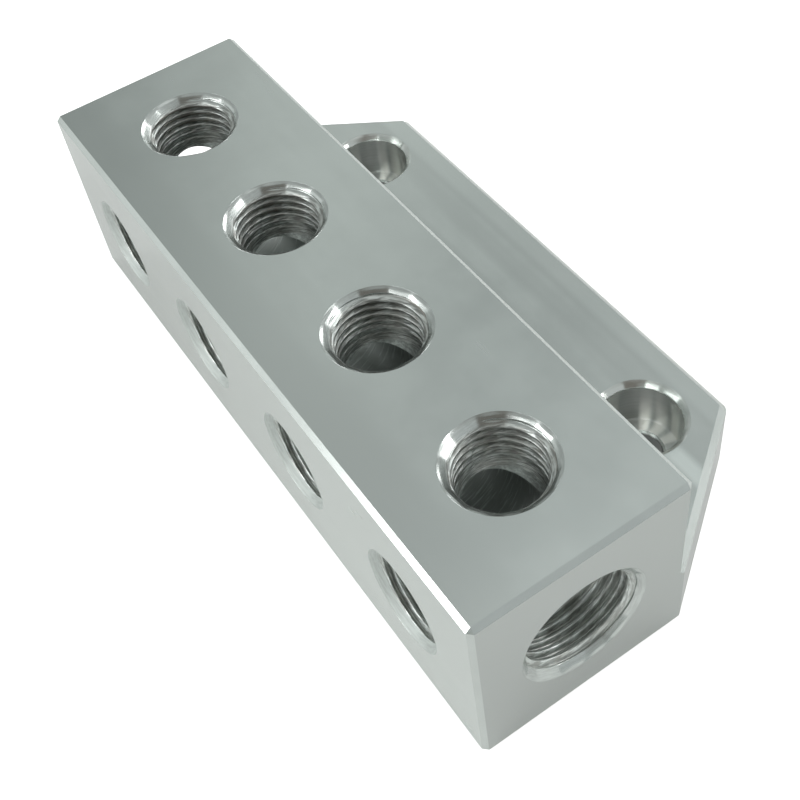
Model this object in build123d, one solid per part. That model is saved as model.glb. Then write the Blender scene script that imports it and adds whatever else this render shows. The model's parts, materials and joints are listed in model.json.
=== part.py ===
from build123d import *
import os

os.makedirs("parts", exist_ok=True)

# A fluid manifold block milled from one bar of aluminium.
# A square bar is bored right through along X. Four threaded ports on its top and four on its
# left side meet that gallery, and both ends of the gallery are threaded.
# A lower mounting flange runs along the right side, with two counterbored screw holes.
# Frame: +X along the bar, +Y from the bar towards the flange, +Z up.
# The origin is the centre of the rectangle that encloses the block, on its underside.
# All sizes are in millimetres.

# Square bar
port_count = 4
port_pitch = 26.9
end_margin = 16.15
section_width = 32.0
section_height = 32.0
edge_break = 0.7

# Mounting flange
flange_reach = 22.0
flange_thickness = 13.0
flange_end_taper = 16.0
flange_edge_break = 1.0
flange_corner_break = 0.4

# Gallery along the bar
gallery_diameter = 14.5

# Side and top ports, with an Rc 1/4 taper thread. The wall is a plain bore, as wide as the
# thread's outer diameter at the mouth.
port_wall_diameter = 13.8
port_mouth_diameter = 15.2
port_thread_depth = 7.3
port_drill_diameter = 11.2

# End ports, with an Rc 3/8 taper thread and a plain wall in the same way
end_wall_diameter = 17.3
end_mouth_diameter = 19.0
end_thread_depth = 9.1

# Screw holes in the flange, for M6 cap screws
bolt_spacing = 70.0
bolt_edge_distance = 11.0
bolt_hole_diameter = 7.0
counterbore_diameter = 12.0
counterbore_depth = 8.0
counterbore_mouth_diameter = 13.7
hole_rim_break = 0.35

# Cutters start this far outside the face that they cut
cutter_overrun = 2.0

# Places that follow from the sizes above
length = 2 * end_margin + (port_count - 1) * port_pitch
total_width = section_width + flange_reach
bar_left = -total_width / 2
bar_right = bar_left + section_width
bar_axis_y = bar_left + section_width / 2
gallery_z = section_height / 2
flange_outer = bar_right + flange_reach
bolt_line_y = flange_outer - bolt_edge_distance
port_stations = [(i - (port_count - 1) / 2) * port_pitch for i in range(port_count)]
bolt_stations = [-bolt_spacing / 2, bolt_spacing / 2]


def revolved_cutter(profile):
    """Solid of revolution about Z. The profile lists (radius, depth) from the mouth inwards."""
    top = (profile[0][0], cutter_overrun)
    points = [(0, cutter_overrun), top] + [(r, -depth) for r, depth in profile]
    points.append((0, -profile[-1][1]))
    outline = Polyline(*[(r, 0, z) for r, z in points], close=True)
    return revolve(make_face(outline), Axis.Z)


def threaded_port_cutter(wall, mouth, thread_depth, drill, reach):
    """Countersunk mouth, thread wall, run-out cone and drilled bore. Both cones are 45 degrees."""
    wall_r, mouth_r, drill_r = wall / 2, mouth / 2, drill / 2
    return revolved_cutter(
        [
            (mouth_r, 0),
            (wall_r, mouth_r - wall_r),
            (wall_r, thread_depth),
            (drill_r, thread_depth + wall_r - drill_r),
            (drill_r, reach),
        ]
    )


def screw_hole_cutter():
    """Counterbored clearance hole for a cap screw, with every rim broken."""
    mouth_r, bore_r = counterbore_mouth_diameter / 2, counterbore_diameter / 2
    hole_r, rim_r = bolt_hole_diameter / 2, bolt_hole_diameter / 2 + hole_rim_break
    return revolved_cutter(
        [
            (mouth_r, 0),
            (bore_r, mouth_r - bore_r),
            (bore_r, counterbore_depth),
            (rim_r, counterbore_depth),
            (hole_r, counterbore_depth + hole_rim_break),
            (hole_r, flange_thickness - hole_rim_break),
            (rim_r, flange_thickness),
            (rim_r, flange_thickness + cutter_overrun),
        ]
    )


def square_bar():
    """The bar before drilling, with all twelve edges broken."""
    bar = Pos(0, bar_axis_y, section_height / 2) * Box(length, section_width, section_height)
    return chamfer(bar.edges(), edge_break)


def flange_plate():
    """The flange, with tapered ends. Its inner half lies within the bar."""
    half = length / 2
    outline = Polyline(
        (-half, bar_axis_y),
        (half, bar_axis_y),
        (half, bar_right),
        (half - flange_end_taper, flange_outer),
        (flange_end_taper - half, flange_outer),
        (-half, bar_right),
        close=True,
    )
    plate = extrude(make_face(outline), flange_thickness)

    corners = plate.edges().filter_by(Axis.Z).group_by(Axis.Y)[-1]
    plate = chamfer(corners, flange_corner_break)

    # The underside is broken all round, apart from the side that lies within the bar.
    underside = plate.faces().sort_by(Axis.Z)[0].edges().sort_by(Axis.Y)[1:]
    plate = chamfer(underside, edge_break)

    # The top is broken only where it stands clear of the bar.
    top = plate.faces().sort_by(Axis.Z)[-1].edges().sort_by(Axis.Y)
    return chamfer([e for e in top if e.center().Y > bar_right], flange_edge_break)


def cross_port_cutter(face_to_gallery):
    """One side or top port, drilled as far as the gallery's axis."""
    return threaded_port_cutter(
        port_wall_diameter, port_mouth_diameter, port_thread_depth, port_drill_diameter, face_to_gallery
    )


def top_ports():
    cutter = cross_port_cutter(section_height - gallery_z)
    return [Pos(x, bar_axis_y, section_height) * cutter for x in port_stations]


def side_ports():
    cutter = cross_port_cutter(bar_axis_y - bar_left)
    return [Pos(x, bar_left, gallery_z) * Rot(90, 0, 0) * cutter for x in port_stations]


def end_ports():
    cutter = threaded_port_cutter(
        end_wall_diameter, end_mouth_diameter, end_thread_depth, gallery_diameter, length / 2
    )
    near = Pos(length / 2, bar_axis_y, gallery_z) * Rot(0, 90, 0) * cutter
    far = Pos(-length / 2, bar_axis_y, gallery_z) * Rot(0, -90, 0) * cutter
    return [near, far]


def screw_holes():
    cutter = screw_hole_cutter()
    return [Pos(x, bolt_line_y, flange_thickness) * cutter for x in bolt_stations]


def gallery():
    return Pos(0, bar_axis_y, gallery_z) * Rot(0, 90, 0) * Cylinder(gallery_diameter / 2, length)


block = square_bar() + flange_plate()
for cutter in [gallery()] + end_ports() + top_ports() + side_ports() + screw_holes():
    block -= cutter

export_step(block, "parts/manifold_block.step")
print(f"block {length:.1f} x {total_width:.1f} x {section_height:.1f} mm")
print(f"volume {block.volume / 1000:.2f} cm3")
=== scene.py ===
# %% [markdown]
# # A machined aluminium manifold block
# The real part is one piece of bar: four tapped ports on its top, four on its left side and
# one in each end all meet a gallery that runs through it, and a lower flange takes two screws.
# It was milled square, drilled, countersunk and tapped, and it has no paint and no coating.
# The CAD model already has its exact shape, so this lesson adds only what the CAD leaves out:
# the fine threads, and a metal that shows how each surface was cut.

# %% Load the frame
import json
import math

import bpy
import numpy as np
from mathutils import Matrix, Vector


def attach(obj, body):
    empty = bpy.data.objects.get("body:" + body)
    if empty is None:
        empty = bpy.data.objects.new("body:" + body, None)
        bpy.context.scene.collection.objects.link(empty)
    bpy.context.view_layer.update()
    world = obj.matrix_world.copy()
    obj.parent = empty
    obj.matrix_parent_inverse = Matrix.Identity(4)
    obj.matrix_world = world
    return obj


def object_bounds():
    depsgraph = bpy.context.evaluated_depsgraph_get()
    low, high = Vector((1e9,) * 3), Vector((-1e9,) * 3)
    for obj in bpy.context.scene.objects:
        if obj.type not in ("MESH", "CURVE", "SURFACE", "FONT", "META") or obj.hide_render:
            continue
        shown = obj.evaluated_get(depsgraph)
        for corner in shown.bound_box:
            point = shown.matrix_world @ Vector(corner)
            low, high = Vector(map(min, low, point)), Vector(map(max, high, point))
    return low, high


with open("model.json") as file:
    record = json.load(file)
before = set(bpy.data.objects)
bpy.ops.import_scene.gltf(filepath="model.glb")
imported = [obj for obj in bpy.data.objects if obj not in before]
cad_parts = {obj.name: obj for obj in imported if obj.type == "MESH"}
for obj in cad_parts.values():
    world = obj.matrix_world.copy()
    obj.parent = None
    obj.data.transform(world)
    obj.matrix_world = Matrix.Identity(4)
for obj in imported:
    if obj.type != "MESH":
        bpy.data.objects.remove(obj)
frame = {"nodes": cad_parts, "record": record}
cad_low, cad_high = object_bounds()
block = frame["nodes"]["manifold_block"]
mounts = {m["name"]: m for m in frame["record"]["mounts"]}
MM = 0.001
print("block, mm:", [round(v / MM, 1) for v in cad_high - cad_low])
print("mounts:", ", ".join(mounts))

# %% [markdown]
# ## The camera
# A product picture of a block like this is taken from close by, so its near end looks much
# larger than its far end. The camera stands 0.19 m from its middle, above the near end and a
# little to the left. It is aimed by its view direction and by the direction that points right
# in the picture, because that says a small roll more clearly than three angles do.

# %% Place the camera
eye = Vector((0.11252, -0.05706, 0.15304))
view_direction = Vector((-0.5668, 0.3050, -0.7653)).normalized()
picture_right = Vector((0.5618, 0.8225, -0.0884))
picture_right = (picture_right - view_direction * picture_right.dot(view_direction)).normalized()
picture_up = picture_right.cross(view_direction)

camera_data = bpy.data.cameras.new("camera")
camera_data.sensor_width = 36.0
camera_data.lens = 56.38
camera_data.shift_x = -0.0396
camera_data.shift_y = -0.0453
camera_data.clip_start = 0.01
camera = bpy.data.objects.new("camera", camera_data)
axes = Matrix((picture_right, picture_up, -view_direction)).transposed().to_4x4()
camera.matrix_world = Matrix.Translation(eye) @ axes
bpy.context.collection.objects.link(camera)
bpy.context.scene.camera = camera
bpy.context.scene.view_settings.view_transform = "Standard"
middle = (cad_low + cad_high) / 2
print("camera to middle of the block, m:", round((eye - middle).length, 3))

# %% [markdown]
# ## Small helpers for shader nodes
# Every finish below is made of nodes. Short functions keep the recipes readable: they add a
# node, link it or set it, do sums, make a soft step, and mix two values or two colours.

# %% Node helpers: nodes and sums


def add_node(tree, kind, **values):
    """Adds a shader node. A value that names one of its inputs is set on that input."""
    node = tree.nodes.new(kind)
    for name, value in values.items():
        label = name.replace("_", " ")
        if label in node.inputs:
            node.inputs[label].default_value = value
        else:
            setattr(node, name, value)
    return node


def join(tree, source, target):
    """Links an output to an input."""
    tree.links.new(source, target)


def feed(tree, value, target):
    """Sets an input to a number, or links a socket to it."""
    if isinstance(value, (int, float)):
        target.default_value = value
    else:
        join(tree, value, target)


def math_node(tree, operation, a, b=None, c=None):
    """Adds a Math node. Each operand is a number or a socket. Gives its output socket."""
    node = tree.nodes.new("ShaderNodeMath")
    node.operation = operation
    for i, operand in enumerate((a, b, c)):
        if operand is not None:
            feed(tree, operand, node.inputs[i])
    return node.outputs[0]


def all_of(tree, mask, *others):
    """Multiplies masks or shares, so the result is 1 only where each of them is 1."""
    for other in others:
        mask = math_node(tree, "MULTIPLY", mask, other)
    return mask


def distance_from_axis(tree, a, b):
    """How far a point is from an axis, from its two coordinates across it."""
    a_squared = math_node(tree, "MULTIPLY", a, a)
    return math_node(tree, "SQRT", math_node(tree, "MULTIPLY_ADD", b, b, a_squared))


print("helpers for nodes and sums are ready")

# %% Node helpers: steps, mixes and vectors
# Which inputs of a Mix node take its two values, and its two colours
MIX_A, MIX_B = 2, 3
COLOUR_A, COLOUR_B = 6, 7


def ramp_between(tree, value, low, high, to_low=0.0, to_high=1.0):
    """A smooth step: to_low where value is under low, to_high where it is over high."""
    node = tree.nodes.new("ShaderNodeMapRange")
    node.interpolation_type = "SMOOTHSTEP"
    settings = {"From Min": low, "From Max": high, "To Min": to_low, "To Max": to_high}
    for name, number in settings.items():
        node.inputs[name].default_value = number
    join(tree, value, node.inputs["Value"])
    return node.outputs["Result"]


def choose(tree, factor, a, b):
    """a where factor is 0, b where it is 1. Each is a number or a socket."""
    node = tree.nodes.new("ShaderNodeMix")
    for socket, value in ((0, factor), (MIX_A, a), (MIX_B, b)):
        feed(tree, value, node.inputs[socket])
    return node.outputs[0]


def tinted(tree, factor, colour_a, colour_b):
    """Mixes two colours, each a tuple or a socket, by a factor that is a socket."""
    node = add_node(tree, "ShaderNodeMix", data_type="RGBA")
    join(tree, factor, node.inputs[0])
    for socket, colour in ((COLOUR_A, colour_a), (COLOUR_B, colour_b)):
        if isinstance(colour, tuple):
            node.inputs[socket].default_value = (*colour, 1)
        else:
            join(tree, colour, node.inputs[socket])
    return node.outputs[2]


def combine(tree, x, y, z):
    """A vector from three parts, each a number or a socket."""
    node = tree.nodes.new("ShaderNodeCombineXYZ")
    for i, part in enumerate((x, y, z)):
        feed(tree, part, node.inputs[i])
    return node.outputs[0]


def split(tree, vector_socket):
    """The three parts of a vector, as sockets."""
    node = add_node(tree, "ShaderNodeSeparateXYZ")
    join(tree, vector_socket, node.inputs[0])
    return node.outputs


print("helpers for steps, mixes and vectors are ready")

# %% [markdown]
# ## The studio
# A bare metal shows little more than what stands round it, so here the studio makes the look.
# There is a pale floor, a plain grey room and six lamps. A broad one on the left whitens the
# left edge, and a narrow one beside it puts a spark on each far rim. Two stand behind the
# flange: the counterbores see them in the bar's side, and the first also whitens one side
# of each countersink. A low strip is for the flange's slanted end, and a faint one hangs overhead.
# The room is darker behind the camera, as where a photographer stands, and has paler and
# darker stretches of wall elsewhere. A satin face picks those up as slow changes of tone.
# The background is white: the camera sees the room as plain white, and a glow that only the
# camera sees at full strength brings the floor up to white too.

# %% Lay the floor
FLOOR_SIZE = 6.0
FLOOR_DROP = 0.0002
CAMERA_GLOW = 0.72
MIRROR_GLOW = 0.185
half_floor = FLOOR_SIZE / 2
floor_mesh = bpy.data.meshes.new("floor")
corners = [(-1, -1), (1, -1), (1, 1), (-1, 1)]
floor_points = [(x * half_floor, y * half_floor, -FLOOR_DROP) for x, y in corners]
floor_mesh.from_pydata(floor_points, [], [(0, 1, 2, 3)])
floor = bpy.data.objects.new("floor", floor_mesh)
bpy.context.collection.objects.link(floor)

floor_material = bpy.data.materials.new("studio_floor")
floor_material.use_nodes = True
tree = floor_material.node_tree
tree.nodes.clear()
floor_diffuse = add_node(tree, "ShaderNodeBsdfDiffuse", Color=(0.86, 0.86, 0.85, 1))
floor_glow = add_node(tree, "ShaderNodeEmission", Color=(1, 1, 1, 1))
floor_sum = add_node(tree, "ShaderNodeAddShader")
floor_out = add_node(tree, "ShaderNodeOutputMaterial")
paths = add_node(tree, "ShaderNodeLightPath")
rays = paths.outputs
mirrored = math_node(tree, "MAXIMUM", rays["Is Glossy Ray"], rays["Is Transmission Ray"])
seen = math_node(tree, "MULTIPLY", rays["Is Camera Ray"], CAMERA_GLOW)
glow = math_node(tree, "MULTIPLY_ADD", mirrored, MIRROR_GLOW, seen)
join(tree, glow, floor_glow.inputs["Strength"])
join(tree, floor_diffuse.outputs[0], floor_sum.inputs[0])
join(tree, floor_glow.outputs[0], floor_sum.inputs[1])
join(tree, floor_sum.outputs[0], floor_out.inputs["Surface"])
floor_mesh.materials.append(floor_material)
print("floor, m:", FLOOR_SIZE)

# %% Light the room


def direction(azimuth, elevation):
    """Unit vector. Azimuth is measured from +X towards +Y, and elevation from the horizon."""
    a = math.radians(azimuth)
    e = math.radians(elevation)
    return Vector((math.cos(a) * math.cos(e), math.sin(a) * math.cos(e), math.sin(e)))


def toward(tree, vector_socket, azimuth, elevation, inner, outer):
    """1 within inner degrees of a direction, falling to 0 at outer degrees."""
    dot = tree.nodes.new("ShaderNodeVectorMath")
    dot.operation = "DOT_PRODUCT"
    dot.inputs[1].default_value = direction(azimuth, elevation)
    join(tree, vector_socket, dot.inputs[0])
    return ramp_between(
        tree, dot.outputs["Value"], math.cos(math.radians(outer)), math.cos(math.radians(inner))
    )


world = bpy.data.worlds.new("studio_room")
world.use_nodes = True
bpy.context.scene.world = world
tree = world.node_tree
tree.nodes.clear()
where = add_node(tree, "ShaderNodeTexCoord")
room_colour = (0.455, 0.48, 0.47)
# Each patch: name, azimuth, elevation, full within, gone beyond (degrees), colour
ROOM_PATCHES = (
    ("pale wall", 154, 41, 6, 13, (0.725, 0.77, 0.75)),
    ("window glow", 138, 57, 4, 12, (0.565, 0.605, 0.60)),
    ("beam", 147, 46, 2, 6, (0.33, 0.36, 0.355)),
    ("open door", 22, 25, 12, 24, (0.56, 0.59, 0.59)),
    ("left wall", -136, 10, 4, 17, (0.86, 0.90, 0.885)),
    ("far shade", 180, 36, 9, 18, (0.345, 0.375, 0.365)),
    ("behind the camera", -30, 40, 18, 33, (0.17, 0.157, 0.14)),
)
for name, azimuth, elevation, inner, outer, colour in ROOM_PATCHES:
    patch = toward(tree, where.outputs["Generated"], azimuth, elevation, inner, outer)
    room_colour = tinted(tree, patch, room_colour, colour)
    print("room:", name, "at azimuth", azimuth)
paths = add_node(tree, "ShaderNodeLightPath")
seen_colour = tinted(tree, paths.outputs["Is Camera Ray"], room_colour, (1, 1, 1))
background = add_node(tree, "ShaderNodeBackground", Strength=1.0)
join(tree, seen_colour, background.inputs["Color"])
world_out = add_node(tree, "ShaderNodeOutputWorld")
join(tree, background.outputs[0], world_out.inputs["Surface"])

# %% Place the lamps


def soft_lamp(name, azimuth, elevation, distance, size, brightness):
    """A rectangular lamp that faces the block. Its brightness is what a mirror would show."""
    lamp = bpy.data.lights.new(name, "AREA")
    lamp.shape = "RECTANGLE"
    lamp.size, lamp.size_y = size
    lamp.energy = brightness * math.pi * size[0] * size[1]
    holder = bpy.data.objects.new(name, lamp)
    away = direction(azimuth, elevation)
    holder.location = middle + away * distance
    holder.rotation_euler = away.to_track_quat("Z", "Y").to_euler()
    bpy.context.collection.objects.link(holder)
    print(name, "lamp, W:", round(lamp.energy, 2))


# Each lamp: name, azimuth, elevation, distance in m, width and height in m, brightness
LAMPS = (
    ("left_window", -104, 19, 1.00, (0.48, 0.44), 5.2),
    ("narrow_window", -72, 35, 0.90, (0.12, 0.22), 3.4),
    ("rear_window", 58, 27, 0.90, (0.24, 0.40), 6.2),
    ("back_window", 113, 27, 0.90, (0.40, 0.18), 6.0),
    ("low_strip", 67.6, 4, 0.90, (0.02, 0.09), 3.5),
    ("overhead", 100, 80, 0.90, (0.50, 0.50), 0.5),
)
for lamp in LAMPS:
    soft_lamp(*lamp)

# %% [markdown]
# ## Effects that the metals share
# Cutting leaves fine streaks along the way that the cutter went, and a bare metal has faint
# cloudy patches from handling and washing. Both are node groups, so that the milled faces, the
# tapped holes and the counterbores share them, each with values of its own. A group puts out
# only values, and each material makes its own colours from them.

# %% Group: cutter streaks


def new_group(name, inputs, outputs):
    """An empty node group with its sockets. Gives the group, its input node and its output node."""
    group = bpy.data.node_groups.new(name, "ShaderNodeTree")
    for label, kind, default in inputs:
        socket = group.interface.new_socket(label, in_out="INPUT", socket_type=kind)
        if default is not None:
            socket.default_value = default
    for label, kind in outputs:
        group.interface.new_socket(label, in_out="OUTPUT", socket_type=kind)
    return group, group.nodes.new("NodeGroupInput"), group.nodes.new("NodeGroupOutput")


FLOAT = "NodeSocketFloat"
VECTOR = "NodeSocketVector"
BROADER = 0.14
streaks, group_in, group_out = new_group(
    "cutter_streaks",
    [("Along", FLOAT, None), ("Across", FLOAT, None), ("Third", FLOAT, None),
     ("Spacing", FLOAT, 0.1), ("Run", FLOAT, 6.0)],
    [("Height", FLOAT), ("Broad", FLOAT)],
)
along = math_node(streaks, "DIVIDE", group_in.outputs["Along"], group_in.outputs["Run"])
across = math_node(streaks, "DIVIDE", group_in.outputs["Across"], group_in.outputs["Spacing"])
third = math_node(streaks, "DIVIDE", group_in.outputs["Third"], group_in.outputs["Run"])
fine = add_node(streaks, "ShaderNodeTexNoise", Scale=1.0, Detail=2.0, Roughness=0.6)
join(streaks, combine(streaks, along, across, third), fine.inputs["Vector"])
broad_across = math_node(streaks, "MULTIPLY", across, BROADER)
broad = add_node(streaks, "ShaderNodeTexNoise", Scale=1.0, Detail=1.0)
join(streaks, combine(streaks, third, broad_across, along), broad.inputs["Vector"])
join(streaks, fine.outputs[0], group_out.inputs["Height"])
join(streaks, broad.outputs[0], group_out.inputs["Broad"])
print("group:", streaks.name, [s.name for s in streaks.interface.items_tree])

# %% Group: cloudy handling marks
clouds, group_in, group_out = new_group(
    "cloudy_marks",
    [("Vector", VECTOR, None), ("Patch Size", FLOAT, 6.0)],
    [("Tone", FLOAT), ("Speckle", FLOAT)],
)
scaled = add_node(clouds, "ShaderNodeVectorMath", operation="SCALE")
join(clouds, group_in.outputs["Vector"], scaled.inputs[0])
per_patch = math_node(clouds, "DIVIDE", 1.0, group_in.outputs["Patch Size"])
join(clouds, per_patch, scaled.inputs["Scale"])
patches = add_node(clouds, "ShaderNodeTexNoise", Scale=1.0, Detail=4.0, Roughness=0.55)
join(clouds, scaled.outputs[0], patches.inputs["Vector"])
speckle = add_node(clouds, "ShaderNodeTexNoise", Scale=14.0, Detail=2.0, Roughness=0.7)
join(clouds, scaled.outputs[0], speckle.inputs["Vector"])
join(clouds, ramp_between(clouds, patches.outputs[0], 0.30, 0.70), group_out.inputs["Tone"])
join(clouds, ramp_between(clouds, speckle.outputs[0], 0.35, 0.75), group_out.inputs["Speckle"])
print("group:", clouds.name, [s.name for s in clouds.interface.items_tree])


def use_group(tree, group, **values):
    """Places a node group in a material. Each value is a number or a socket."""
    node = tree.nodes.new("ShaderNodeGroup")
    node.node_tree = group
    for name, value in values.items():
        feed(tree, value, node.inputs[name.replace("_", " ")])
    return node


# %% [markdown]
# ## The milled metal
# The outside was fly-cut, which leaves a satin surface with very fine lines along the bar. The
# bores were drilled, so their lines run round them, a little coarser.
# One material covers the whole CAD node. It works out from the place and from the way that a
# surface faces which cut made it, and sets the direction of the lines, their depth, the
# roughness and the tone. The cutter's passes differ a little in tone. Some tones are painted light
# and shade: the left side is painted lighter, its far part darker, and the bar's two ends and the
# flange's slanted ends darker. The break along the bar's right edge is rougher than the faces
# beside it, so it catches light as a pale line, and it is also painted a little lighter, as a highlight.

# %% The metal's tones
ALUMINIUM = (0.615, 0.650, 0.632)
# How light each surface is. The numbers are shares of the metal's own colour.
TONES = {
    "cloud, dark": 0.96, "cloud, light": 1.04,
    # Painted light and shade: the left side lighter, its far part, the ends and the slanted ends darker.
    "left side": 1.17, "left side, far part": 0.89,
    "end face": 0.80, "slanted end": 0.68, "first pass": 0.95,
    "flange stripe": 0.93, "last pass": 1.04, "run-out streak": 1.30, "right edge": 1.04,
    # The gallery tone is painted shade, darker than the bar; its scratches are lighter.
    "gallery": 0.76, "gallery scratch": 1.12,
    # The last tone on this line, for the screw holes, is painted shade.
    "drilled, dark": 0.80, "drilled, light": 1.40, "screw hole": 0.42,
    "thread, dark": 0.48, "thread, light": 1.22,
    # This tone is painted light: paler threads for the end and side ports.
    "pale thread, dark": 0.85, "pale thread, light": 1.45,
    "countersink, dark": 0.89, "countersink, light": 1.00,
    # This tone is painted light: lighter countersinks for the side ports.
    "side countersink, dark": 0.98, "side countersink, light": 1.10,
}


def shade(surface_name):
    """The metal's colour on one kind of surface."""
    return tuple(min(1.0, channel * TONES[surface_name]) for channel in ALUMINIUM)


print("tones:", len(TONES), "from", min(TONES.values()), "to", max(TONES.values()))

# %% A start for every metal


def start_metal(name, **values):
    """A bare metal's material, its Principled BSDF and the place on its surface in mm."""
    material = bpy.data.materials.new(name)
    material.use_nodes = True
    tree = material.node_tree
    tree.nodes.clear()
    principled = add_node(tree, "ShaderNodeBsdfPrincipled", Metallic=1.0, **values)
    output = add_node(tree, "ShaderNodeOutputMaterial")
    join(tree, principled.outputs[0], output.inputs["Surface"])
    coordinates = add_node(tree, "ShaderNodeTexCoord")
    in_mm = add_node(tree, "ShaderNodeVectorMath", operation="SCALE", Scale=1 / MM)
    join(tree, coordinates.outputs["Object"], in_mm.inputs[0])
    print("material:", name)
    return material, principled, in_mm.outputs[0]


def bump_lines(tree, height, depth, principled):
    """Gives a surface its fine lines. Their depth is in m, a number or a socket."""
    bump = add_node(tree, "ShaderNodeBump", Strength=1.0, Distance=1.0)
    join(tree, math_node(tree, "MULTIPLY", height, depth), bump.inputs["Height"])
    join(tree, bump.outputs[0], principled.inputs["Normal"])


metal, surface, place = start_metal("milled_aluminium")
tree = metal.node_tree
px, py, pz = split(tree, place)
facing = split(tree, add_node(tree, "ShaderNodeTexCoord").outputs["Normal"])

# %% Find the outside faces and the bores
# In mm. MOUTH_BREAK is the depth of a counterbore's broken mouth. BORES_REACH is just past the
# end ports' mouths, SCREW_HOLE_REACH is just past a screw hole, and SKIN is the play in finding
# a face. A surface whose normal has a part over SQUARE_ON along an axis faces that way.
MOUTH_BREAK = 0.85
GALLERY_RADIUS = 7.25
BORES_REACH = 9.6
SCREW_HOLE_REACH = 3.6
SKIN = 0.02
SQUARE_ON = 0.92
half_length = (cad_high.x - cad_low.x) / 2 / MM
bar_left = cad_low.y / MM
bar_top = cad_high.z / MM
flange_outer = cad_high.y / MM
gallery_y = mounts["near_end_port"]["pos_m"][1] / MM
gallery_z = mounts["near_end_port"]["pos_m"][2] / MM
bar_right = 2 * gallery_y - bar_left
screw_bore = mounts["counterbore_1"]
bolt_x = abs(screw_bore["pos_m"][0]) / MM
bolt_y = screw_bore["pos_m"][1] / MM
flange_top = screw_bore["pos_m"][2] / MM + screw_bore["dims"]["length_mm"] / 2 + MOUTH_BREAK

end, side, up = [math_node(tree, "ABSOLUTE", part) for part in facing]
is_up = math_node(tree, "GREATER_THAN", up, SQUARE_ON)
from_middle = math_node(tree, "ABSOLUTE", px)
at_top = math_node(tree, "GREATER_THAN", pz, bar_top - SKIN)
at_left = math_node(tree, "LESS_THAN", py, bar_left + SKIN)
at_ends = math_node(tree, "GREATER_THAN", from_middle, half_length - SKIN)
right_half = math_node(tree, "GREATER_THAN", py, gallery_y)
on_flange = math_node(tree, "LESS_THAN", pz, flange_top + SKIN)

to_gallery_y = math_node(tree, "SUBTRACT", py, gallery_y)
to_gallery_z = math_node(tree, "SUBTRACT", pz, gallery_z)
gallery_distance = distance_from_axis(tree, to_gallery_z, to_gallery_y)
not_end_face = math_node(tree, "SUBTRACT", 1.0, at_ends)
within_bores = math_node(tree, "LESS_THAN", gallery_distance, BORES_REACH)
in_bores = all_of(tree, within_bores, not_end_face)
within_gallery = math_node(tree, "LESS_THAN", gallery_distance, GALLERY_RADIUS + SKIN)
in_gallery = all_of(tree, within_gallery, not_end_face)

from_bolt_x = math_node(tree, "SUBTRACT", from_middle, bolt_x)
from_bolt_y = math_node(tree, "SUBTRACT", py, bolt_y)
bolt_distance = distance_from_axis(tree, from_bolt_y, from_bolt_x)
in_screw_hole = math_node(tree, "LESS_THAN", bolt_distance, SCREW_HOLE_REACH)
print("bar from y", round(bar_left, 2), "to", round(bar_right, 2), "mm")

# %% Streaks along the bar, and round the gallery
# How far apart the lines are, how long they run and how deep they are, in mm
FACE_SPACING, FACE_RUN, FACE_LINE_DEPTH = 0.24, 12.0, 0.0010
BORE_SPACING, BORE_RUN, BORE_LINE_DEPTH = 0.30, 4.0, 0.010
DRILL_LEAD = 0.5
across_flat = math_node(tree, "MULTIPLY", py, is_up)
across_upright = math_node(tree, "MULTIPLY", pz, math_node(tree, "SUBTRACT", 1.0, is_up))
across_face = math_node(tree, "ADD", across_flat, across_upright)
face_lines = use_group(
    tree, streaks, Along=px, Across=across_face, Third=py, Spacing=FACE_SPACING, Run=FACE_RUN
)
gallery_angle = math_node(tree, "ARCTAN2", to_gallery_z, to_gallery_y)
drilled = math_node(tree, "MULTIPLY_ADD", gallery_angle, DRILL_LEAD, px)
bore_lines = use_group(
    tree, streaks, Along=to_gallery_y, Across=drilled, Third=to_gallery_z,
    Spacing=BORE_SPACING, Run=BORE_RUN,
)
line_height = choose(tree, in_bores, face_lines.outputs["Height"], bore_lines.outputs["Height"])
line_broad = choose(tree, in_bores, face_lines.outputs["Broad"], bore_lines.outputs["Broad"])
line_depth = choose(tree, in_bores, FACE_LINE_DEPTH, BORE_LINE_DEPTH)
print("line spacing, mm: faces", FACE_SPACING, "bores", BORE_SPACING)

# %% The cutter's passes on the flange
# The last pass is a strip along the flange's outer edge. The streak is a light trace on the
# screws' line, from the near counterbore to the flange's end.
PASS_EDGE = flange_outer - 3.8
PASS_BLUR = 0.8
STREAK_OFFSET = 0.3
STREAK_CORE, STREAK_EDGE = 0.5, 1.9
STREAK_STARTS, STREAK_FULL = bolt_x + 5.0, bolt_x + 8.0
STRIPES_ALONG, STRIPES_ACROSS = 0.012, 0.33
faces_up = math_node(tree, "GREATER_THAN", facing[2], SQUARE_ON)
flange_up = all_of(tree, on_flange, faces_up)
past_edge = ramp_between(tree, py, PASS_EDGE - PASS_BLUR, PASS_EDGE + PASS_BLUR)
last_pass = all_of(tree, flange_up, past_edge)

from_bolt_line = math_node(tree, "ABSOLUTE", math_node(tree, "SUBTRACT", py, bolt_y - STREAK_OFFSET))
in_bolt_line = ramp_between(tree, from_bolt_line, STREAK_CORE, STREAK_EDGE, 1.0, 0.0)
past_screw = ramp_between(tree, px, STREAK_STARTS, STREAK_FULL)
run_out_streak = all_of(tree, flange_up, in_bolt_line, past_screw)

stripes = add_node(tree, "ShaderNodeTexNoise", Scale=1.0, Detail=1.0)
stripes_x = math_node(tree, "MULTIPLY", px, STRIPES_ALONG)
stripes_y = math_node(tree, "MULTIPLY", py, STRIPES_ACROSS)
join(tree, combine(tree, stripes_x, stripes_y, 0.0), stripes.inputs["Vector"])
stripe_tone = all_of(tree, flange_up, ramp_between(tree, stripes.outputs[0], 0.35, 0.65))
print("last pass starts at y", round(PASS_EDGE, 2), "mm")

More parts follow.
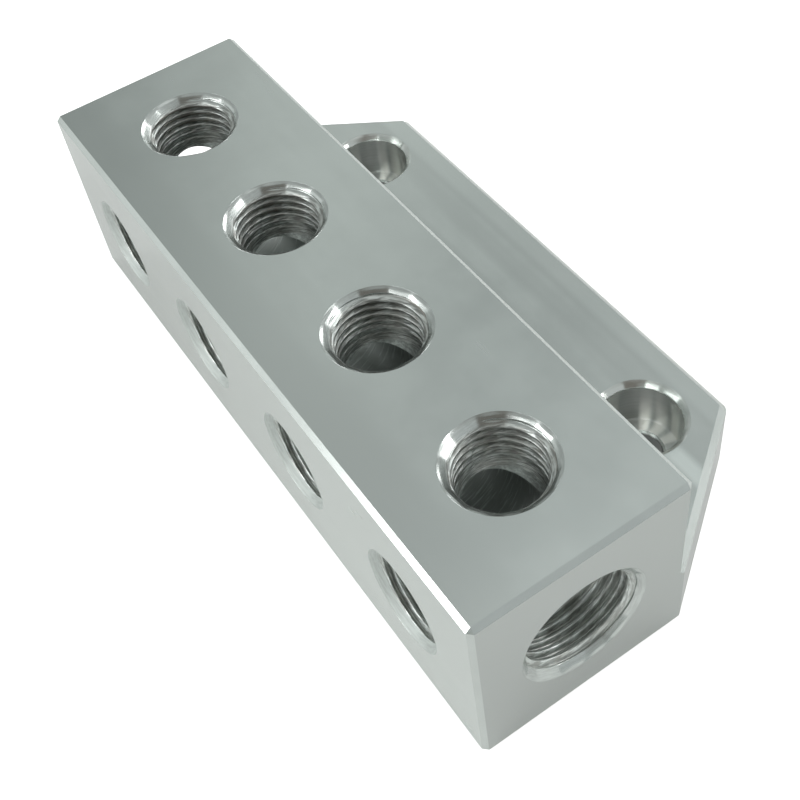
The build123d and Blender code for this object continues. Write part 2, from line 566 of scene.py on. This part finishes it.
# %% The pale right edge and the flange's slanted ends
# The right edge is also painted a little lighter, as a highlight.
RIGHT_EDGE_DEPTH = 1.2
leans_up = ramp_between(tree, up, 0.55, 0.65)
leans_sideways = ramp_between(tree, side, 0.55, 0.65)
near_top = math_node(tree, "GREATER_THAN", pz, bar_top - RIGHT_EDGE_DEPTH)
right_edge = all_of(tree, leans_up, leans_sideways, near_top, right_half)

# The flange's slanted ends are painted darker, as shade.
END_PART, SIDE_PART = 0.6, 0.4
mostly_end = math_node(tree, "GREATER_THAN", end, END_PART)
partly_side = math_node(tree, "GREATER_THAN", side, SIDE_PART)
slanted_end = all_of(tree, mostly_end, partly_side, on_flange, right_half)
print("right edge from z", round(bar_top - RIGHT_EDGE_DEPTH, 2), "mm up")

# %% Cloudy tone, roughness and colour
FACE_ROUGH, CLOUD_ROUGH, LINE_ROUGH = 0.21, 0.03, 0.05
SLANT_ROUGH, BORE_ROUGH, EDGE_ROUGH = 0.20, 0.46, 0.55
marks = use_group(tree, clouds, Vector=place, Patch_Size=11.0)
rough_face = math_node(tree, "MULTIPLY_ADD", marks.outputs["Tone"], CLOUD_ROUGH, FACE_ROUGH)
rough_lines = math_node(tree, "MULTIPLY_ADD", line_broad, LINE_ROUGH, rough_face)
rough_slants = choose(tree, slanted_end, rough_lines, SLANT_ROUGH)
rough_bores = choose(tree, in_bores, rough_slants, BORE_ROUGH)
join(tree, choose(tree, right_edge, rough_bores, EDGE_ROUGH), surface.inputs["Roughness"])

# Painted shade: the left side grows darker towards its far end.
far_part = ramp_between(tree, px, -half_length, 0.6 * half_length, 1.0, 0.0)
far_left_painted_shade = all_of(tree, at_left, far_part)
first_strip = ramp_between(tree, py, bar_left + 5.0, bar_left + 9.0, 1.0, 0.0)
first_pass = all_of(tree, at_top, first_strip)
tone = tinted(tree, marks.outputs["Tone"], shade("cloud, dark"), shade("cloud, light"))
# Each finish covers those before it, where its mask is 1.
LAYERS = (
    # Painted light and shade: the left side, its far part, the ends and the slanted ends.
    (at_left, "left side"),
    (far_left_painted_shade, "left side, far part"),
    (at_ends, "end face"),
    (slanted_end, "slanted end"),
    (first_pass, "first pass"),
    (stripe_tone, "flange stripe"),
    (last_pass, "last pass"),
    (run_out_streak, "run-out streak"),
    # A painted highlight along the right edge.
    (right_edge, "right edge"),
)
for mask, surface_name in LAYERS:
    tone = tinted(tree, mask, tone, shade(surface_name))
# The gallery is painted darker, as shade, with lighter drill scratches.
drill_scratch = ramp_between(tree, bore_lines.outputs["Height"], 0.52, 0.72)
gallery_shade_and_scratches = tinted(tree, drill_scratch, shade("gallery"), shade("gallery scratch"))
drill_tone = tinted(tree, marks.outputs["Speckle"], shade("drilled, dark"), shade("drilled, light"))
tone = tinted(tree, in_bores, tone, drill_tone)
tone = tinted(tree, in_gallery, tone, gallery_shade_and_scratches)
# The screw holes are painted dark, as shade.
join(tree, tinted(tree, in_screw_hole, tone, shade("screw hole")), surface.inputs["Base Color"])
bump_lines(tree, line_height, math_node(tree, "MULTIPLY", line_depth, MM), surface)
block.data.materials.clear()
block.data.materials.append(metal)
print("slots on the block:", [m.name for m in block.data.materials])

# %% [markdown]
# ## The threads
# A tap cuts a groove that winds down the hole, and the ridges that it leaves are what the eye
# reads as a thread. They could be painted with bump, but then the rim and the shape between
# the ridges would stay round. So each hole gets a thin lining just inside the CAD wall.
# It is a grid of points, one column for each angle and one row for each depth. The radius of
# each point follows the groove's V section. The countersink cuts the first turn off, and the
# tap's lead makes the last turns shallow. These are taper threads, so the whole wall narrows.

# %% Thread sizes
# Sizes are in mm, the angle is in degrees and the taper is that of the radius. FLANK_MIDDLE is
# how far inside a groove's bottom the middle of its flank lies, in pitches. The tap's lead still
# leaves a small share of the ridge at the end of the thread.
PITCH = 1.337
HALF_FLANK_ANGLE = 27.5
FLANK_SLOPE = 1 / math.tan(math.radians(HALF_FLANK_ANGLE))
FLANK_MIDDLE = 0.32
CLEARANCE = 0.04
TAPER = 1 / 32
RIDGE_HEIGHT = 0.76
RIDGE_LEFT_AT_END = 0.12
CHATTER_TOP = 0.25


def depth_under_face(mount):
    """How far a hole's stated middle lies under the outside face that it is cut in, in m."""
    axis = Vector(mount["axis"])
    face = Vector([cad_high[i] if axis[i] > 0 else cad_low[i] for i in range(3)])
    return (face - Vector(mount["pos_m"])).dot(axis)


def hole_size(mount, drill, lead, segments, facets):
    """A tapped hole's sizes in mm: its mount gives the wall and depths, the caller the rest."""
    middle_depth = depth_under_face(mount) / MM
    wall = mount["dims"]["r_mm"]
    countersink = middle_depth - mount["dims"]["length_mm"] / 2
    depth = middle_depth + mount["dims"]["length_mm"] / 2
    return {
        "wall": wall, "mouth": wall + countersink, "countersink": countersink, "depth": depth,
        "run_out": depth + wall - drill, "drill": drill, "lead": lead, "segments": segments,
        "facets": facets,
    }


cross_thread = hole_size(mounts["top_port_1"], drill=5.6, lead=4.4, segments=144, facets=12)
end_thread = hole_size(mounts["near_end_port"], drill=GALLERY_RADIUS, lead=6.6, segments=176, facets=14)
for size in (cross_thread, end_thread):
    print("wall", size["wall"], "depth", round(size["depth"], 2), "turns", round(size["depth"] / PITCH, 1))

# %% The shape of a tapped wall


def cad_wall(depth, size):
    """Radius of the CAD wall at a depth: countersink, thread wall, run-out cone, drill."""
    below = np.minimum(size["wall"], size["drill"] + size["run_out"] - depth)
    return np.maximum(np.maximum(below, size["mouth"] - depth), size["drill"])


def thread_wall(depth, angle, size, start, chatter):
    """Radius of the tapped wall. The groove's middle is at depth start where angle is 0."""
    outside = size["wall"] - CLEARANCE - depth * TAPER
    ridge_top = outside - RIDGE_HEIGHT
    lead = np.clip((depth - size["lead"]) / (size["depth"] - size["lead"]), 0, 1)
    bottom = outside - RIDGE_HEIGHT * (1 - RIDGE_LEFT_AT_END) * lead
    turn = depth - start + PITCH * angle / (2 * math.pi)
    from_groove = np.abs((turn + PITCH / 2) % PITCH - PITCH / 2)
    flank = bottom - PITCH * FLANK_MIDDLE + (PITCH / 4 - from_groove) * FLANK_SLOPE
    tapped = np.clip(flank, ridge_top, bottom)
    below = np.clip((depth - size["depth"]) / (size["run_out"] - size["depth"]), 0, 1)
    tapped = tapped * (1 - below) + (size["drill"] + CLEARANCE / 2) * below
    cone = size["mouth"] - CLEARANCE - depth - chatter * np.clip(depth / CHATTER_TOP, 0, 1)
    return np.maximum(tapped, cone)


for down in (0.0, 3.0, cross_thread["run_out"]):
    radius = float(cad_wall(down, cross_thread))
    print("CAD wall of a cross port at depth", round(down, 2), "mm: radius", round(radius, 2))

# %% Chatter, tears and torn metal
# All in mm, apart from JITTER and FIRST_EDGE, which are shares of one flat's width
LEAST_CHATTER = 0.06
CROWN = (0.15, 0.21)
TILT = 0.03
JITTER = 0.12
FIRST_EDGE = 0.6
TEAR_WIDTH, TEAR_DEPTH = 0.8, 0.55
TEAR_LIMIT = 0.25


def countersink_chatter(random, angle, count):
    """How far the flats that a chattering countersink leaves stand inside its round cone, mm."""
    edges = (np.arange(count) + FIRST_EDGE + random.uniform(-JITTER, JITTER, count)) / count * 2 * math.pi
    edges = np.concatenate([edges, [edges[0] + 2 * math.pi]])
    turned = (angle - edges[0]) % (2 * math.pi) + edges[0]
    which = np.clip(np.searchsorted(edges, turned, side="right") - 1, 0, count - 1)
    across = (turned - edges[which]) / (edges[which + 1] - edges[which]) * 2 - 1
    crown = random.uniform(*CROWN, count)[which]
    tilt = random.uniform(-TILT, TILT, count)[which]
    return LEAST_CHATTER + crown * (1 - across**2) + tilt * across


def torn_metal(random, angle, depth, waves, most_turns):
    """A gentle random surface that closes on itself round the hole, between -1 and 1."""
    total = np.zeros_like(angle + depth)
    for _ in range(waves):
        turns = random.integers(1, most_turns)
        total += np.sin(turns * angle + random.uniform(2, 9) * depth + random.uniform(0, 6.3))
    return total / waves


def tears(random, angle, depth, count, size):
    """Places where the tap tore a ridge: a few rough lumps, in mm."""
    total = np.zeros_like(angle + depth)
    for _ in range(count):
        middle = random.uniform(0, 2 * math.pi)
        down = random.uniform(0.35, 0.95) * size["depth"]
        around = (angle - middle + math.pi) % (2 * math.pi) - math.pi
        spot = np.exp(-((around * size["wall"] / TEAR_WIDTH) ** 2) - ((depth - down) / TEAR_DEPTH) ** 2)
        rough = np.sin(around * 31 + depth * 5) * np.sin(depth * 9 + around * 12)
        total += spot * (0.10 + 0.14 * rough)
    return np.clip(total, 0, TEAR_LIMIT)


print("chatter up to", LEAST_CHATTER + CROWN[1], "mm and tears up to", TEAR_LIMIT, "mm")

# %% Build one lining
# ROUNDING averages the profile over these shifts, in mm, which rounds its corners. From
# FADE_START down, torn metal and tears fade in. The back stays EMBED below the outside face,
# and EMBED times EMBED_SIDEWAYS behind the CAD wall, within the metal.
# Edges sharper than THREAD_SHARP or CUP_SHARP, in degrees, stay sharp.
ROWS_PER_TURN = 22
ROUNDING = (-0.035, -0.012, 0.012, 0.035)
FADE_START, FADE_LENGTH = 1.0, 0.4
TORN_WAVES, TORN_TURNS, TORN_HEIGHT = 14, 24, 0.010
TEARS_PER_PORT = 4
EMBED = 0.12
EMBED_SIDEWAYS = 1.6
THREAD_SHARP, CUP_SHARP = 60, 50


def ring_mesh(name, rings, segments, sharp_degrees):
    """A closed mesh from rings of (radius, depth) in mm. Each joins the next, the last the first."""
    angle = np.arange(segments) / segments * 2 * math.pi
    points = []
    for radius, down in rings:
        radius = np.broadcast_to(radius, angle.shape)
        down = np.broadcast_to(down, angle.shape)
        ring = np.stack([radius * np.cos(angle), radius * np.sin(angle), -down], axis=1) * MM
        points += [tuple(point) for point in ring]
    faces = []
    for i in range(len(rings)):
        below = (i + 1) % len(rings)
        for j in range(segments):
            k = (j + 1) % segments
            upper = (i * segments + j, i * segments + k)
            lower = (below * segments + k, below * segments + j)
            faces.append(upper + lower)
    mesh = bpy.data.meshes.new(name)
    mesh.from_pydata(points, [], faces)
    mesh.validate()
    mesh.shade_smooth()
    mesh.set_sharp_from_angle(angle=math.radians(sharp_degrees))
    return mesh


def thread_mesh(name, size, start, seed, flatness):
    """A closed shell. Its inside is the thread, and its outside lies a little within the metal."""
    random = np.random.default_rng(seed)
    segments = size["segments"]
    angle = np.arange(segments) / segments * 2 * math.pi
    around = angle[None, :]
    rows = round(size["run_out"] / PITCH * ROWS_PER_TURN)
    depth = np.linspace(0, size["run_out"] - 0.03, rows + 1)[:, None]
    chatter = countersink_chatter(random, angle, size["facets"])[None, :] * flatness
    walls = [thread_wall(depth + shift, around, size, start, chatter) for shift in ROUNDING]
    inner = np.mean(walls, axis=0)
    in_thread = np.clip((depth - FADE_START) / FADE_LENGTH, 0, 1)
    torn = torn_metal(random, around, depth, TORN_WAVES, TORN_TURNS) * TORN_HEIGHT
    lumps = tears(random, around, depth, TEARS_PER_PORT, size)
    inner -= (np.clip(torn, 0, None) + lumps) * in_thread
    inner = np.minimum(inner, cad_wall(depth, size) - CLEARANCE / 2)
    rings = [(inner[i], depth[i]) for i in range(rows + 1)]
    for down in (size["run_out"], size["depth"], size["countersink"], EMBED):
        rings.append((cad_wall(down, size) + EMBED * EMBED_SIDEWAYS, down))
    return ring_mesh(name, rings, segments, THREAD_SHARP)


print("rows in a cross port:", round(cross_thread["run_out"] / PITCH * ROWS_PER_TURN) + 1)

# %% [markdown]
# ## The tapped metal
# A tap tears as much as it cuts, so a thread in soft aluminium has streaks along its groove and
# stains in cloudy patches. Its roots are darkened as painted shade, while its ridges and the
# countersink above it are bright.
# The material measures everything from the hole's own axis, so one recipe fits all ten holes.
# The side ports get a copy of the recipe with a few of its values changed. Their countersinks are
# duller, their roots get less painted shade, and their countersinks and threads are painted paler,
# as painted light. The end ports' threads get the same pale painted light.

# %% Make the thread's material
THREAD_FULL, THREAD_BEGINS = -1.15, -0.85
CONE_LINE_DEPTH, THREAD_LINE_DEPTH = 0.0015, 0.026
tapped, surface, place = start_metal("tapped_aluminium")
tree = tapped.node_tree
px, py, pz = split(tree, place)
angle = math_node(tree, "ARCTAN2", py, px)
helix = math_node(tree, "MULTIPLY_ADD", angle, PITCH / (2 * math.pi), pz)
groove_lines = use_group(tree, streaks, Along=px, Across=helix, Third=py, Spacing=0.15, Run=2.0)
marks = use_group(tree, clouds, Vector=place, Patch_Size=2.6)
in_thread = ramp_between(tree, pz, THREAD_FULL, THREAD_BEGINS, 1.0, 0.0)
line_depth = choose(tree, in_thread, CONE_LINE_DEPTH, THREAD_LINE_DEPTH)
bump_lines(tree, groove_lines.outputs["Height"], math_node(tree, "MULTIPLY", line_depth, MM), surface)

# %% Bright ridges and dark roots
# The end ports are wider, so the distance from the axis tells them from the side and top ports.
# How deep under the outside the painted root shade is full and gone, in mm, and its share in each kind of
# port.
SHADED_BELOW, UNSHADED_ABOVE = 0.08, 0.45
CROSS_ROOT_SHADE, END_ROOT_SHADE, SIDE_ROOT_SHADE = 0.95, 0.40, 0.40
STAIN_SHARE = 0.50
CONE_ROUGH, SIDE_CONE_ROUGH = 0.27, 0.72
THREAD_ROUGH, SPECKLE_ROUGH = 0.42, 0.14
RESIDUE_AND_ROOT_SHADE = (0.27, 0.258, 0.232)
radius = distance_from_axis(tree, py, px)
of_cross_port = math_node(tree, "LESS_THAN", radius, cross_thread["wall"] + CLEARANCE)
wall = choose(tree, of_cross_port, end_thread["wall"], cross_thread["wall"])
outside = math_node(tree, "MULTIPLY_ADD", pz, TAPER, wall)
root_depth = math_node(tree, "SUBTRACT", outside, radius)
# Painted shade: the thread's roots darken towards the residue colour.
root_painted_shade = ramp_between(tree, root_depth, SHADED_BELOW, UNSHADED_ABOVE, 1.0, 0.0)
root_share = choose(tree, of_cross_port, END_ROOT_SHADE, CROSS_ROOT_SHADE)
root_share.node.name = "share of dirt"
dirt_and_root_shade = all_of(tree, root_painted_shade, in_thread, root_share)
stain = all_of(tree, marks.outputs["Tone"], in_thread, STAIN_SHARE)
dirt_and_root_shade = math_node(tree, "MAXIMUM", dirt_and_root_shade, stain)
thread_rough = math_node(tree, "MULTIPLY_ADD", marks.outputs["Speckle"], SPECKLE_ROUGH, THREAD_ROUGH)
port_rough = choose(tree, in_thread, CONE_ROUGH, thread_rough)
port_rough.node.name = "countersink roughness"
join(tree, port_rough, surface.inputs["Roughness"])

grain = ramp_between(tree, groove_lines.outputs["Height"], 0.40, 0.60)
wall_tone = tinted(tree, grain, shade("thread, dark"), shade("thread, light"))
wall_tone.node.name = "wall tone"
# The end ports' walls are painted paler, as painted light.
end_wall_painted_light = tinted(tree, grain, shade("pale thread, dark"), shade("pale thread, light"))
in_thread_tone = tinted(tree, of_cross_port, end_wall_painted_light, wall_tone)
countersink_tone = tinted(tree, grain, shade("countersink, dark"), shade("countersink, light"))
countersink_tone.node.name = "countersink tone"
streak_tone = tinted(tree, in_thread, countersink_tone, in_thread_tone)
# The roots' painted shade and the stains darken the colour towards one residue colour.
join(tree, tinted(tree, dirt_and_root_shade, streak_tone, RESIDUE_AND_ROOT_SHADE), surface.inputs["Base Color"])
print("share of dirt in the roots: cross ports", CROSS_ROOT_SHADE, "end ports", END_ROOT_SHADE)

# %% A duller copy for the side ports, with painted light
tapped_side = tapped.copy()
tapped_side.name = "tapped_aluminium_side"
side_nodes = tapped_side.node_tree.nodes
side_nodes["share of dirt"].inputs[MIX_B].default_value = SIDE_ROOT_SHADE
side_nodes["countersink roughness"].inputs[MIX_A].default_value = SIDE_CONE_ROUGH
# Lighter tones for the side ports' countersinks and walls, as painted light.
for node_name, finish in (("countersink tone", "side countersink"), ("wall tone", "pale thread")):
    colours = side_nodes[node_name].inputs
    colours[COLOUR_A].default_value = (*shade(finish + ", dark"), 1)
    colours[COLOUR_B].default_value = (*shade(finish + ", light"), 1)
print("material:", tapped_side.name)

# %% Line every port
# A start is the depth of the first groove, in mm, on the side of the hole at FAR_MIDDLE.
FAR_MIDDLE = math.radians(140)
START_AT_FAR_MIDDLE = {"top_port_2": 0.60, "top_port_3": 0.80, "near_end_port": 0.30}
USUAL_START = 0.62
SIDE_FLATNESS, OTHER_FLATNESS = 0.35, 0.70


def local_frame(mount):
    """Places a hole's own axes: its Z points out of the hole, and its centre is on the face."""
    axis = Vector(mount["axis"])
    centre = Vector(mount["pos_m"]) + axis * depth_under_face(mount)
    sideways = Vector((0, 1, 0)) if abs(axis.x) > 0.5 else Vector((1, 0, 0))
    rotation = Matrix((sideways, axis.cross(sideways), axis)).transposed().to_4x4()
    return Matrix.Translation(centre) @ rotation


def place_lining(name, mesh, material, placing):
    """Sets a lining in its hole, gives it its metal and makes it ride on the block."""
    mesh.materials.append(material)
    lining = bpy.data.objects.new(name, mesh)
    lining.matrix_world = placing
    bpy.context.collection.objects.link(lining)
    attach(lining, "root")
    return lining


linings = []
tapped_mounts = [m for m in mounts.values() if m["kind"] == "threaded_hole"]
for number, mount in enumerate(tapped_mounts):
    name = mount["name"] + "_thread"
    size = end_thread if "end" in name else cross_thread
    start = START_AT_FAR_MIDDLE.get(mount["name"], USUAL_START) + PITCH * FAR_MIDDLE / (2 * math.pi)
    on_side = "side" in name
    flatness = SIDE_FLATNESS if on_side else OTHER_FLATNESS
    mesh = thread_mesh(name, size, start, number + 1, flatness)
    port_metal = tapped_side if on_side else tapped
    linings.append(place_lining(name, mesh, port_metal, local_frame(mount)))
print("linings:", len(linings), "triangles:", sum(len(o.data.polygons) * 2 for o in linings))

# %% [markdown]
# ## The counterbores
# An end mill turned on the spot leaves rings on the floor of a counterbore and fine lines round
# its wall, so the light runs across them in soft upright bands and in a fan on the floor.
# A Principled BSDF does that with Anisotropic, which stretches highlights across the lines.
# Its lines run round the object's own Z axis, so the lining's axis is the hole's axis, and a
# quarter turn of Anisotropic Rotation sets the stretch up and down the wall.
# Brighter upright bands are painted highlights in the colour, on the wall and in a fan on the floor, and
# they fade towards the mouth.

# %% Values of the turned metal
LINE_DARK, LINE_LIGHT = (0.52, 0.54, 0.525), (0.70, 0.72, 0.70)
# The first colour below is near white, for the painted highlight bands.
PAINTED_HIGHLIGHT_COLOUR, BREAK_COLOUR = (0.97, 0.97, 0.935), (0.74, 0.765, 0.74)
BREAK_ROUGH, TURNED_ROUGH, TURNED_CLOUD_ROUGH = 0.20, 0.29, 0.04
BREAK_BLUR = 0.05
TURNED_LINE_DEPTH = 0.003
BANDS_FULL, BANDS_FAINT, FAINT_SHARE = -5.5, -1.5, 0.30
# Each painted highlight band: its azimuth and half its width, in degrees
PAINTED_HIGHLIGHT_BANDS = (
    (131, 11), (107, 13), (80, 12), (38, 18),
    (-24, 13), (-85, 19), (-150, 12), (177, 10),
)
print("painted highlight bands:", len(PAINTED_HIGHLIGHT_BANDS))

# %% Make the turned metal
turned, surface, place = start_metal("turned_aluminium", Anisotropic=0.94, Anisotropic_Rotation=0.25)
tree = turned.node_tree
px, py, pz = split(tree, place)
across = math_node(tree, "ADD", distance_from_axis(tree, py, px), pz)
turned_lines = use_group(tree, streaks, Along=px, Across=across, Third=py, Spacing=0.22, Run=8.0)
marks = use_group(tree, clouds, Vector=place, Patch_Size=4.0)
turned_rough = math_node(tree, "MULTIPLY_ADD", marks.outputs["Tone"], TURNED_CLOUD_ROUGH, TURNED_ROUGH)
below_break = ramp_between(tree, pz, -MOUTH_BREAK - BREAK_BLUR, -MOUTH_BREAK + BREAK_BLUR, 1.0, 0.0)
join(tree, choose(tree, below_break, BREAK_ROUGH, turned_rough), surface.inputs["Roughness"])

turned_tone = tinted(tree, turned_lines.outputs["Height"], LINE_DARK, LINE_LIGHT)
outward = add_node(tree, "ShaderNodeVectorMath", operation="NORMALIZE")
join(tree, combine(tree, px, py, 0.0), outward.inputs[0])
deeper = ramp_between(tree, pz, BANDS_FULL, BANDS_FAINT, 1.0, FAINT_SHARE)
# Paints the highlight bands into the colour, fainter near the mouth.
for azimuth, half_width in PAINTED_HIGHLIGHT_BANDS:
    band = toward(tree, outward.outputs[0], azimuth, 0, 0, half_width)
    turned_tone = tinted(tree, all_of(tree, band, deeper), turned_tone, PAINTED_HIGHLIGHT_COLOUR)
join(tree, tinted(tree, below_break, BREAK_COLOUR, turned_tone), surface.inputs["Base Color"])
bump_lines(tree, turned_lines.outputs["Height"], TURNED_LINE_DEPTH * MM, surface)
print("turned lines, mm deep:", TURNED_LINE_DEPTH)

# %% Line the counterbores
# Sizes in mm. The floor ends at RIM_RADIUS, the broken rim of the screw hole. WALL_RINGS and
# FLOOR_RINGS are the greatest depths of the rings that the end mill leaves.
RIM_RADIUS = 3.85
CORNER_RADIUS = 0.25
WALL_RINGS, FLOOR_RINGS = 0.012, 0.022
CUP_SEGMENTS = 120
CUP_FACETS = 15
CUP_FLATNESS = 0.45


def counterbore_mesh(name, mount, seed):
    """A thin cup: broken mouth with chatter, turned wall and ringed floor, round the screw hole."""
    random = np.random.default_rng(seed)
    angle = np.arange(CUP_SEGMENTS) / CUP_SEGMENTS * 2 * math.pi
    wall = mount["dims"]["r_mm"]
    floor_depth = MOUTH_BREAK + mount["dims"]["length_mm"]
    chatter = countersink_chatter(random, angle, CUP_FACETS) * CUP_FLATNESS
    rings = []
    for down in np.linspace(0, MOUTH_BREAK, 8):
        fade = min(down / CHATTER_TOP, 1) * min((MOUTH_BREAK - down) / 0.1, 1)
        rings.append((wall + MOUTH_BREAK - CLEARANCE - down - chatter * fade, down))
    for down in np.linspace(MOUTH_BREAK, floor_depth - 0.30, 30)[1:]:
        rings.append((wall - CLEARANCE - WALL_RINGS * random.uniform(0, 1), down))
    cup_floor = floor_depth - CLEARANCE
    for turn in np.linspace(0, math.pi / 2, 6):
        radius = wall - CLEARANCE - CORNER_RADIUS * (1 - math.cos(turn))
        rings.append((radius, cup_floor - CORNER_RADIUS * (1 - math.sin(turn))))
    for radius in np.linspace(wall - 0.34, RIM_RADIUS + 0.05, 26):
        rings.append((radius, cup_floor - FLOOR_RINGS * random.uniform(0, 1)))
    rings += [
        (RIM_RADIUS + 0.1, floor_depth + 0.3),
        (wall + 0.2, floor_depth + 0.3),
        (wall + 0.2, MOUTH_BREAK),
        (wall + MOUTH_BREAK + 0.05, 0.15),
    ]
    return ring_mesh(name, rings, CUP_SEGMENTS, CUP_SHARP)


for number, name in enumerate(("counterbore_1", "counterbore_2")):
    mount = mounts[name]
    top = Vector(mount["pos_m"])
    top.z += (mount["dims"]["length_mm"] / 2 + MOUTH_BREAK) * MM
    mesh = counterbore_mesh(name + "_lining", mount, 50 + number)
    place_lining(name + "_lining", mesh, turned, Matrix.Translation(top))
    print(name, "mouth at z", round(top.z / MM, 2), "mm")

# %% [markdown]
# ## Finish
# The last line brings the scene up to date.

# %% Finish
bpy.context.view_layer.update()
